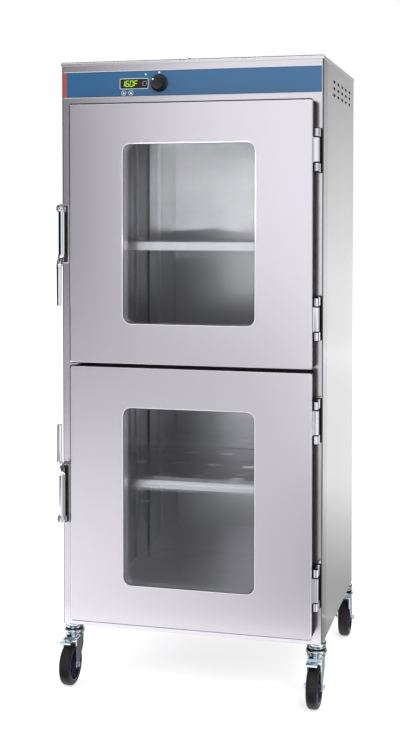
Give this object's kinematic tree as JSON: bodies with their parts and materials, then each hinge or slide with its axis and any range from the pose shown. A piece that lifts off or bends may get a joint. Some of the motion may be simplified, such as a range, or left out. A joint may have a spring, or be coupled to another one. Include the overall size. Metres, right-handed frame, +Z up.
{
  "type": "blanket warming cabinet",
  "caption": "Tall steel blanket warming cabinet on swivel casters: a heated, shelved chamber behind windowed doors with lever latches, under a control strip with a display and a knob.",
  "frame": {"origin": "on the floor, under the middle of the whole cabinet's box", "axes": "+Z up, X across the front from its left to its right, and the doors face -Y"},
  "size_m": [0.82, 0.8254, 1.903],
  "materials": {
    "casing_steel": "brushed stainless steel",
    "liner_steel": "satin steel sheet inside the chamber and doors",
    "chrome_fittings": "polished chrome plate",
    "zinc_plate": "bright zinc plate",
    "door_seal": "matt black surround and seal",
    "wheel_tyre": "grey-black rubber tread",
    "black_plastic": "moulded black plastic",
    "display": "glossy dark display window",
    "control_strip": "blue printed film",
    "heater_mat": "orange silicone heating mat",
    "module_grey": "grey moulded housing",
    "window_glass": "clear window glass"
  },
  "bodies": {
    "cabinet": {"base_pan": "casing_steel", "left_side_panel": "casing_steel", "right_side_panel": "casing_steel", "back_panel": "casing_steel", "top_panel": "casing_steel", "front_frame": "casing_steel", "power_inlet": "black_plastic", "chamber_liner": "liner_steel", "heating_mat": "heater_mat", "lower_shelf": "liner_steel", "middle_shelf": "liner_steel", "upper_shelf": "liner_steel", "left_shelf_rack": "liner_steel", "right_shelf_rack": "liner_steel", "temperature_probe": "zinc_plate", "control_overlay": "control_strip", "display_window": "display", "control_module": "module_grey", "upper_latch_strike": "chrome_fittings", "lower_latch_strike": "chrome_fittings", "upper_door_top_hinge_frame_leaf": "chrome_fittings", "upper_door_bottom_hinge_frame_leaf": "chrome_fittings", "lower_door_top_hinge_frame_leaf": "chrome_fittings", "lower_door_bottom_hinge_frame_leaf": "chrome_fittings", "front_left_caster_cup": "zinc_plate", "front_right_caster_cup": "zinc_plate", "rear_left_caster_cup": "zinc_plate", "rear_right_caster_cup": "zinc_plate"},
    "upper_door": {"upper_door_skin": "casing_steel", "upper_door_surround": "door_seal", "upper_door_liner": "liner_steel", "upper_door_glass": "window_glass", "upper_latch_base": "chrome_fittings", "upper_door_top_hinge_leaf": "chrome_fittings", "upper_door_bottom_hinge_leaf": "chrome_fittings"},
    "lower_door": {"lower_door_skin": "casing_steel", "lower_door_surround": "door_seal", "lower_door_liner": "liner_steel", "lower_door_glass": "window_glass", "lower_latch_base": "chrome_fittings", "lower_door_top_hinge_leaf": "chrome_fittings", "lower_door_bottom_hinge_leaf": "chrome_fittings"},
    "upper_lever": {"upper_latch_lever": "chrome_fittings"},
    "lower_lever": {"lower_latch_lever": "chrome_fittings"},
    "knob": {"temperature_knob": "black_plastic"},
    "front_left_fork": {"front_left_caster_fork": "zinc_plate", "front_left_caster_axle": "zinc_plate"},
    "front_right_fork": {"front_right_caster_fork": "zinc_plate", "front_right_caster_axle": "zinc_plate"},
    "rear_left_fork": {"rear_left_caster_fork": "zinc_plate", "rear_left_caster_axle": "zinc_plate"},
    "rear_right_fork": {"rear_right_caster_fork": "zinc_plate", "rear_right_caster_axle": "zinc_plate"},
    "front_left_roller": {"front_left_wheel": "wheel_tyre"},
    "front_right_roller": {"front_right_wheel": "wheel_tyre"},
    "rear_left_roller": {"rear_left_wheel": "wheel_tyre"},
    "rear_right_roller": {"rear_right_wheel": "wheel_tyre"},
    "front_left_pedal": {"front_left_brake_pedal": "zinc_plate"},
    "front_right_pedal": {"front_right_brake_pedal": "zinc_plate"}
  },
  "joints": [
    {"name": "upper_door_hinge", "type": "hinge", "parent": "cabinet", "child": "upper_door", "pos_m": [0.3885, -0.35774, 1.3855], "axis": [0, 0, 1], "range_deg": [0, 170]},
    {"name": "lower_door_hinge", "type": "hinge", "parent": "cabinet", "child": "lower_door", "pos_m": [0.3885, -0.35774, 0.6045], "axis": [0, 0, 1], "range_deg": [0, 170]},
    {"name": "upper_latch_pivot", "type": "hinge", "parent": "upper_door", "child": "upper_lever", "pos_m": [-0.3745, -0.38374, 1.4605], "axis": [-1, 0, 0], "range_deg": [0, 30], "stiffness_Nm_per_rad": 2, "springref_deg": -14.32},
    {"name": "lower_latch_pivot", "type": "hinge", "parent": "lower_door", "child": "lower_lever", "pos_m": [-0.3745, -0.38374, 0.5295], "axis": [1, 0, 0], "range_deg": [0, 30], "stiffness_Nm_per_rad": 2, "springref_deg": -14.32},
    {"name": "knob_turn", "type": "hinge", "parent": "cabinet", "child": "knob", "pos_m": [-0.0915, -0.31124, 1.8335], "axis": [0, -1, 0], "range_deg": [-203, 97]},
    {"name": "front_left_swivel", "type": "hinge", "parent": "cabinet", "child": "front_left_fork", "pos_m": [-0.378, -0.27174, 0.15], "axis": [0, 0, 1], "continuous": true},
    {"name": "front_right_swivel", "type": "hinge", "parent": "cabinet", "child": "front_right_fork", "pos_m": [0.378, -0.27174, 0.15], "axis": [0, 0, 1], "continuous": true},
    {"name": "rear_left_swivel", "type": "hinge", "parent": "cabinet", "child": "rear_left_fork", "pos_m": [-0.378, 0.31026, 0.15], "axis": [0, 0, 1], "continuous": true},
    {"name": "rear_right_swivel", "type": "hinge", "parent": "cabinet", "child": "rear_right_fork", "pos_m": [0.378, 0.31026, 0.15], "axis": [0, 0, 1], "continuous": true},
    {"name": "front_left_wheel_spin", "type": "hinge", "parent": "front_left_fork", "child": "front_left_roller", "pos_m": [-0.378, -0.30974, 0.0635], "axis": [1, 0, 0], "continuous": true},
    {"name": "front_right_wheel_spin", "type": "hinge", "parent": "front_right_fork", "child": "front_right_roller", "pos_m": [0.378, -0.30974, 0.0635], "axis": [1, 0, 0], "continuous": true},
    {"name": "rear_left_wheel_spin", "type": "hinge", "parent": "rear_left_fork", "child": "rear_left_roller", "pos_m": [-0.378, 0.34826, 0.0635], "axis": [1, 0, 0], "continuous": true},
    {"name": "rear_right_wheel_spin", "type": "hinge", "parent": "rear_right_fork", "child": "rear_right_roller", "pos_m": [0.378, 0.34826, 0.0635], "axis": [1, 0, 0], "continuous": true},
    {"name": "front_left_pedal_pivot", "type": "hinge", "parent": "front_left_fork", "child": "front_left_pedal", "pos_m": [-0.378, -0.30774, 0.1377], "axis": [1, 0, 0], "range_deg": [0, 12]},
    {"name": "front_right_pedal_pivot", "type": "hinge", "parent": "front_right_fork", "child": "front_right_pedal", "pos_m": [0.378, -0.30774, 0.1377], "axis": [1, 0, 0], "range_deg": [0, 12]}
  ]
}
